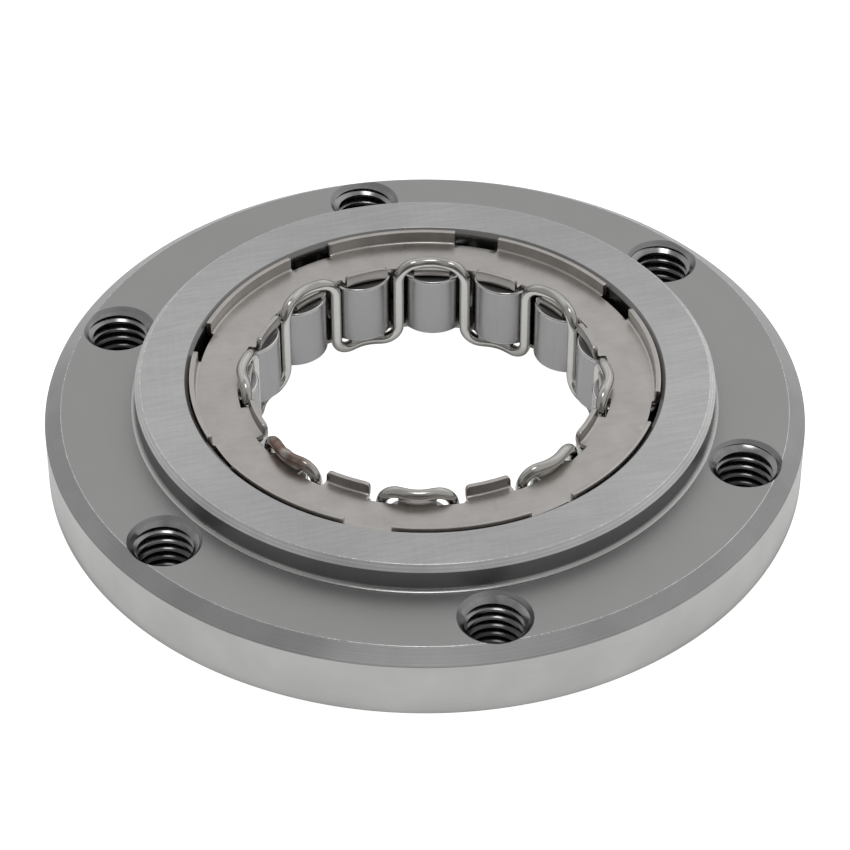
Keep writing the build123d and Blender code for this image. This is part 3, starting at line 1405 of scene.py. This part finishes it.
@dataclass
class SpringWire:
    """The closed wire that runs over one sprag and under the next.

    Attributes:
        layout: the sizes that the pieces share.
        wire_radius: half the wire's thickness.
        leg_radius: how far its legs stand from the clutch axis.
        bow_radius: how far out the corner in the middle of a crossing lies.
        middle_height: the height halfway between the upper and the lower crossings.
        rise: how far the crossings lie from that height.
        leg_bend: the bend radius where a leg meets a crossing.
        bow_bend: the bend radius in the middle of a crossing.
        welded_sprag: the sprag that the weld lies over, counted from 0.
        weld_bulge: how far the weld swells the wire.
        weld_reaches: within each of these distances of the weld, an equal share is added.
        steps_round: how finely the wire is rounded.
        steps_along: the edges between two points of the curve.
    """

    layout: Layout
    wire_radius: float = 0.7 * MM
    leg_radius: float = 21.5 * MM
    bow_radius: float = 22.35 * MM
    middle_height: float = 6.415 * MM
    rise: float = 5.705 * MM
    leg_bend: float = 2.2 * MM
    bow_bend: float = 5.0 * MM
    welded_sprag: int = 10
    weld_bulge: float = 0.08 * MM
    weld_reaches: Point2 = (0.95 * MM, 0.80 * MM)
    steps_round: int = 6
    steps_along: int = 8

    @property
    def weld(self) -> Vector:
        """Find the middle of the wire at its butt weld, on top of one crossing.

        Returns:
            Its place.
        """
        centre = self.layout.first_sprag + self.welded_sprag * self.layout.pitch
        chord = polar(self.leg_radius, self.layout.pitch / 2, 0)
        turn = math.atan2(self.bow_radius - chord.x, chord.y)
        radius = self.bow_radius - self.bow_bend * (1 / math.cos(turn) - 1)
        return polar(radius, centre, self.middle_height + self.rise)

    def corners(self) -> list[tuple[Vector, float]]:
        """Lay out the wire's route, three corners to a sprag.

        Returns:
            Every corner with the radius of its bend.
        """
        half = self.layout.pitch / 2
        route = []
        for index in range(self.layout.sprag_count):
            centre = self.layout.first_sprag + index * self.layout.pitch
            height = self.middle_height + (self.rise if index % 2 == 0 else -self.rise)
            route += [
                (polar(self.leg_radius, centre - half, height), self.leg_bend),
                (polar(self.bow_radius, centre, height), self.bow_bend),
                (polar(self.leg_radius, centre + half, height), self.leg_bend),
            ]
        return route

    def knots(self) -> list[tuple[Vector, Vector, Vector]]:
        """Bend the route at its corners, with two points of a curve to a bend.

        Returns:
            Each point between its two handles.
        """
        route = self.corners()
        knots = []
        for index, (here, radius) in enumerate(route):
            before = (route[index - 1][0] - here).normalized()
            after = (route[(index + 1) % len(route)][0] - here).normalized()
            half = before.angle(after) / 2
            reach = radius / math.tan(half)
            turn = math.pi - 2 * half
            # Past a handle that lays the curve along an arc, this much of the reach is left. The
            # handle on the straight side only has to lie along it.
            pull = reach * (1 - 4 / 3 * math.tan(turn / 4) / math.tan(turn / 2))
            start, end = here + before * reach, here + after * reach
            knots.append((start + before * pull / 3, start, here + before * pull))
            knots.append((here + after * pull, end, end + after * pull / 3))
        return knots

    def build(self, material: Material) -> Piece:
        """Build the wire, dressed and riding on the cage.

        Args:
            material: its finish.

        Returns:
            The wire.
        """
        Modelling.clear_selection()
        bpy.ops.curve.primitive_bezier_circle_add(radius=self.leg_radius)
        wire = bpy.context.object
        wire.name = "woven_spring_wire"
        spline = wire.data.splines[0]
        knots = self.knots()
        spline.bezier_points.add(len(knots) - len(spline.bezier_points))
        for point, (left, place, right) in zip(spline.bezier_points, knots):
            point.handle_left_type = point.handle_right_type = "FREE"
            point.co, point.handle_left, point.handle_right = place, left, right
        wire.data.bevel_depth = self.wire_radius
        wire.data.bevel_resolution = self.steps_round
        wire.data.resolution_u = wire.data.render_resolution_u = self.steps_along
        Modelling.select(wire)
        bpy.ops.object.convert(target="MESH")
        wire = bpy.context.object
        wire.data.name = "woven_spring_wire"
        with Modelling.editing(wire):
            Modelling.close_seams()
            for reach in self.weld_reaches:
                Modelling.pick(Element.CORNER, lambda place: (place - self.weld).length < reach)
                bpy.ops.transform.shrink_fatten(value=self.weld_bulge / len(self.weld_reaches))
        Modelling.select(wire)
        bpy.ops.object.shade_smooth()
        wire.data.materials.clear()
        wire.data.materials.append(material)
        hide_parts("energising_spring")
        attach(wire, "cage")
        return wire


@dataclass
class Sprag:
    """One cam-shaped strut, drawn on +X, and its copies round the race.

    Attributes:
        layout: the sizes that the pieces share.
        width: the width across its cams' corners.
        length: its length along the clutch axis.
        middle_height: the height of its middle.
        inner_cam: the radius of the cam towards the inner race.
        outer_cam: the radius of the cam in the bore.
        flank_hollow: how deep the flanks are hollowed at the waist.
        edge_radius: the radius of its four long edges.
        end_chamfer: the size of the chamfer round its ends.
        chamfer_profile: how full the chamfer is; 0.5 is round, less is flatter.
        steps_on_cam: the faces across a cam.
        steps_on_flank: the faces across a flank.
        steps_in_edge: the faces across a long edge.
        steps_in_chamfer: the faces across a chamfer.
        chamfer_rise: between what the normal of a chamfer's face rises, out of 1; those faces take
            painted highlights.
    """

    layout: Layout
    width: float = 7.1 * MM
    length: float = 8.2 * MM
    middle_height: float = 6.25 * MM
    inner_cam: float = 4.3 * MM
    outer_cam: float = 4.3 * MM
    flank_hollow: float = 0.45 * MM
    edge_radius: float = 0.4 * MM
    end_chamfer: float = 0.25 * MM
    chamfer_profile: float = 0.4
    steps_on_cam: int = 18
    steps_on_flank: int = 10
    steps_in_edge: int = 4
    steps_in_chamfer: int = 3
    chamfer_rise: Point2 = (0.2, 0.97)

    def arc(self, start: Vector, through: Vector, end: Vector, steps: int) -> list[Vector]:
        """Draw the arc through three points.

        Args:
            start: its first point.
            through: a point on its way.
            end: its last point.
            steps: how many edges it has.

        Returns:
            Its points without the last.
        """
        first_leg, second_leg = through - start, end - through
        cross = first_leg.x * second_leg.y - first_leg.y * second_leg.x
        ahead = (start.length_squared * (through.y - end.y) + through.length_squared * (end.y - start.y)
                 + end.length_squared * (start.y - through.y))
        aside = (start.length_squared * (end.x - through.x) + through.length_squared * (start.x - end.x)
                 + end.length_squared * (through.x - start.x))
        centre = Vector((ahead, aside)) / (2 * cross)
        first, last = start - centre, end - centre
        sweep = math.atan2(last.y, last.x) - math.atan2(first.y, first.x)
        sweep %= FULL_TURN if cross > 0 else -FULL_TURN
        return [centre + Matrix.Rotation(sweep * step / steps, 2) @ first for step in range(steps)]

    @property
    def low(self) -> float:
        """Return the height of the sprag's lower end."""
        return self.middle_height - self.length / 2

    def outline(self) -> list[Vector]:
        """Draw the section of the sprag on +X, its four edges rounded.

        Returns:
            Its corners, at the height of the lower end.
        """
        half, offset = self.width / 2, self.layout.cam_offset
        inner, outer = self.layout.inner_race_radius + self.inner_cam, self.layout.pivot_along
        inner_corner = inner - math.sqrt(self.inner_cam ** 2 - half ** 2)
        outer_corner = outer + math.sqrt(self.outer_cam ** 2 - half ** 2)
        waist, waist_half = (inner_corner + outer_corner) / 2, half - self.flank_hollow
        cam, flank = self.steps_on_cam, self.steps_on_flank
        runs = [
            (Vector((inner_corner, half)), Vector((self.layout.inner_race_radius, 0)), cam),
            (Vector((inner_corner, -half)), Vector((waist, -offset / 2 - waist_half)), flank),
            (Vector((outer_corner, -offset - half)), Vector((outer + self.outer_cam, -offset)), cam),
            (Vector((outer_corner, -offset + half)), Vector((waist, -offset / 2 + waist_half)), flank),
        ]
        corners = []
        for index, (start, through, steps) in enumerate(runs):
            points = self.arc(start, through, runs[(index + 1) % len(runs)][0], steps)
            corners += [(*point, self.edge_radius if step == 0 else 0.0)
                        for step, point in enumerate(points)]
        return [Vector((x, y, self.low)) for x, y in rounded(corners, self.steps_in_edge)]

    def is_end(self, middle: Vector) -> bool:
        """Return whether a face is one of the two ends."""
        return min(abs(middle.z - self.low), abs(middle.z - self.low - self.length)) < MERGE_DISTANCE

    def master(self) -> Piece:
        """Grind the sprag on +X and chamfer its ends.

        Returns:
            The sprag that the others are copied from.
        """
        sprag = Modelling.chain("ground_sprag", self.outline(), closed=True)
        with Modelling.editing(sprag):
            bpy.ops.mesh.select_all(action="SELECT")
            bpy.ops.mesh.edge_face_add()
            bpy.ops.mesh.extrude_region_move(TRANSFORM_OT_translate={"value": (0, 0, self.length)})
            Modelling.close_seams()
            Modelling.pick(Element.FACE, self.is_end)
            bpy.ops.mesh.region_to_loop()
            bpy.ops.mesh.bevel(offset=self.end_chamfer, segments=self.steps_in_chamfer,
                               profile=self.chamfer_profile, affect="EDGES")
        Modelling.smooth(sprag)
        return sprag

    def build(self, ground: Material, edge: Material) -> list[Piece]:
        """Build every sprag, dressed and riding on its own body.

        Args:
            ground: the finish of the cams, flanks and ends.
            edge: a lighter copy of the ground finish for the chamfers round the ends, painted
                highlights.

        Returns:
            The sprags in order.
        """
        master = self.master()
        master.data.materials.append(ground)
        master.data.materials.append(edge)
        # The chamfers round the ends take painted highlights.
        for face in master.data.polygons:
            face.material_index = self.chamfer_rise[0] < abs(face.normal.z) < self.chamfer_rise[1]
        sprags = []
        for index in range(self.layout.sprag_count):
            angle = self.layout.first_sprag + index * self.layout.pitch
            sprag = Modelling.copy_about_axis(master, f"ground_sprag_{index + 1:02d}", angle)
            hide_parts(f"sprag_{index + 1:02d}")
            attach(sprag, f"sprag_{index + 1:02d}")
            sprags.append(sprag)
        bpy.data.objects.remove(master)
        return sprags


@dataclass(frozen=True)
class Glow:
    """One soft patch of light in the studio's surroundings, or of shade where it is negative.

    Attributes:
        azimuth: the direction of its middle, in degrees from +X.
        elevation: the height of its middle, in degrees.
        core: how many degrees from its middle it begins to fade.
        edge: how many degrees from its middle it ends.
        strength: what it adds to the light.
    """

    azimuth: float
    elevation: float
    core: float
    edge: float
    strength: float

    def direction(self) -> Vector:
        """Return the unit direction towards the patch."""
        rise = math.radians(self.elevation)
        return polar(math.cos(rise), math.radians(self.azimuth), math.sin(rise))

    def cosines(self) -> Point2:
        """Return the cosines of its edge and of its core."""
        return math.cos(math.radians(self.edge)), math.cos(math.radians(self.core))


@dataclass
class Studio:
    """The floor, the soft light round it and the camera.

    Attributes:
        camera_at: the camera's place.
        camera_turn: its turn about X, Y and Z.
        lens: its focal length in millimetres, on the sensor's width.
        sensor: the sensor's width in millimetres.
        near_clip: how near it begins to see.
        floor_size: the length of the floor's sides.
        floor_drop: how far the floor lies below the race.
        floor_rise: how its far edge is drawn out and up.
        floor_tone: how light it is.
        under_race: the radii between which light passes through it, under the race.
        table_mask: the radii between which its glow sets in, outside the race.
        table_glow: that glow.
        opening_mask: the radii between which its glow sets in, inside the cage.
        opening_glow: that glow.
        room_light: the light from all round.
        glows: the patches that are added to it.
    """

    camera_at: Point3 = (0.10125, -0.30085, 0.27230)
    camera_turn: Point3 = (math.radians(49.803), 0.0, math.radians(18.6))
    lens: float = 144.2
    sensor: float = 36.0
    near_clip: float = 0.01
    floor_size: float = 6.0
    floor_drop: float = 0.02 * MM
    floor_rise: Point3 = (0.0, 0.4, 0.3)
    floor_tone: float = 0.8
    under_race: Point2 = (0.0220, 0.0455)
    table_mask: Point2 = (0.0461, 0.0469)
    table_glow: float = 0.50
    opening_mask: Point2 = (0.0215, 0.0180)
    opening_glow: float = 0.42
    room_light: float = 0.41
    glows: tuple[Glow, ...] = (
        Glow(108.6, 39.0, 10.0, 34.0, 0.30),
        Glow(64.0, 39.0, 10.0, 34.0, 0.30),
        Glow(153.0, 39.0, 10.0, 34.0, 0.26),
        Glow(18.6, 35.0, 25.0, 70.0, 0.14),
        Glow(-71.4, 82.0, 3.0, 11.0, 4.6),
        Glow(-71.4, 12.0, 20.0, 41.0, -0.28),
    )

    def light_table(self) -> Material:
        """Make a white that glows outside the race and inside the cage.

        The camera sees it fully lit. Other rays pass through it under the race, and every ray
        passes through it from below.

        Returns:
            The floor's material.
        """
        material = bpy.data.materials.new("studio_light_table")
        material.use_nodes = True
        white = material.node_tree.nodes["Principled BSDF"]
        white.inputs["Base Color"].default_value = (self.floor_tone, self.floor_tone, self.floor_tone, 1)
        white.inputs["Roughness"].default_value = 1.0
        white.inputs["Specular IOR Level"].default_value = 0.0
        white.inputs["Emission Color"].default_value = (1, 1, 1, 1)
        board = NodeBoard(material.node_tree)
        distance = board.add("ShaderNodeVectorMath", operation="LENGTH")
        board.link(board.place(), distance.inputs[0])
        away = distance.outputs["Value"]
        outside = board.spread(away, self.table_mask, (0.0, self.table_glow))
        inside = board.spread(away, self.opening_mask, (0.0, self.opening_glow))
        seen = board.add("ShaderNodeLightPath").outputs["Is Camera Ray"]
        glow = board.math("MAXIMUM", board.math("ADD", outside, inside), seen)
        board.link(glow, white.inputs["Emission Strength"])
        beyond = board.math("GREATER_THAN", away, self.under_race[0])
        under = board.math("MULTIPLY", beyond, board.math("LESS_THAN", away, self.under_race[1]))
        under = board.math("MULTIPLY", under, board.math("SUBTRACT", 1.0, seen))
        below = board.add("ShaderNodeNewGeometry").outputs["Backfacing"]
        mix = board.add("ShaderNodeMixShader")
        clear = board.add("ShaderNodeBsdfTransparent")
        sources = (board.math("MAXIMUM", under, below), white.outputs[0], clear.outputs[0])
        for source, target in zip(sources, mix.inputs):
            board.link(source, target)
        board.link(mix.outputs[0], material.node_tree.nodes["Material Output"].inputs["Surface"])
        return material

    def floor(self) -> Piece:
        """Lay the pale floor and turn its far edge up.

        Returns:
            The floor.
        """
        Modelling.clear_selection()
        bpy.ops.mesh.primitive_plane_add(size=self.floor_size, location=(0, 0, -self.floor_drop))
        floor = bpy.context.object
        floor.name = "studio_floor"
        with Modelling.editing(floor):
            Modelling.pick(Element.EDGE, lambda middle: middle.y > self.floor_size / 4)
            bpy.ops.mesh.extrude_edges_move(TRANSFORM_OT_translate={"value": self.floor_rise})
        floor.data.materials.append(self.light_table())
        return floor

    def surroundings(self) -> None:
        """Light the object softly, more from behind and overhead and less from low in front."""
        world = bpy.data.worlds.new("studio_surroundings")
        world.use_nodes = True
        world.node_tree.nodes.clear()
        board = NodeBoard(world.node_tree)
        around = board.add("ShaderNodeTexCoord").outputs["Generated"]
        total = self.room_light
        for glow in self.glows:
            near = board.add("ShaderNodeVectorMath", operation="DOT_PRODUCT")
            board.link(around, near.inputs[0])
            near.inputs[1].default_value = glow.direction()
            patch = board.spread(near.outputs["Value"], glow.cosines(), (0.0, glow.strength))
            patch.node.interpolation_type = "SMOOTHSTEP"
            total = board.math("ADD", patch, total)
        light = board.add("ShaderNodeBackground")
        seen = board.add("ShaderNodeLightPath").outputs["Is Camera Ray"]
        board.link(board.math("MAXIMUM", total, seen), light.inputs["Strength"])
        output = board.add("ShaderNodeOutputWorld")
        board.link(light.outputs[0], output.inputs["Surface"])
        bpy.context.scene.world = world

    def camera(self) -> Piece:
        """Set the camera where the photograph was taken.

        Returns:
            The camera.
        """
        Modelling.clear_selection()
        bpy.ops.object.camera_add(location=self.camera_at, rotation=self.camera_turn)
        camera = bpy.context.object
        camera.name = "studio_camera"
        camera.data.lens = self.lens
        camera.data.sensor_width = self.sensor
        camera.data.clip_start = self.near_clip
        bpy.context.scene.camera = camera
        return camera

    def build(self) -> None:
        """Set up the whole studio."""
        self.floor()
        self.surroundings()
        self.camera()
        view = bpy.context.scene.view_settings
        view.view_transform = "Standard"
        view.look = "None"


def report(pieces: list[Piece]) -> None:
    """Log each piece with its number of faces."""
    for piece in pieces:
        log.info("%s: %d faces", piece.name, len(piece.data.polygons))


def main() -> None:
    """Set up the studio, then build the clutch piece by piece."""
    logging.basicConfig(level=logging.INFO, format="%(message)s")
    layout = Layout.read()
    marks = SurfaceMarks()
    # The second material holds the painted shade of the tabs' upright faces.
    plain, tabs = SHEET.material(marks), TAB_PAINTED_SHADE.material(marks)
    Studio().build()
    report(OuterRace(layout).build(marks))
    report([CagePlate(layout, "cage_sheet_top", "cage_top_plate", upper=True).build(plain, tabs)])
    report([CagePlate(layout, "cage_sheet_bottom", "cage_bottom_plate", upper=False).build(plain, tabs)])
    wire = SpringWire(layout)
    report([wire.build(replace(WIRE, weld=tuple(wire.weld)).material(marks))])
    report(Sprag(layout).build(CAM.material(marks), CAM_EDGE_HIGHLIGHT.material(marks)))


if __name__ == "__main__":
    main()
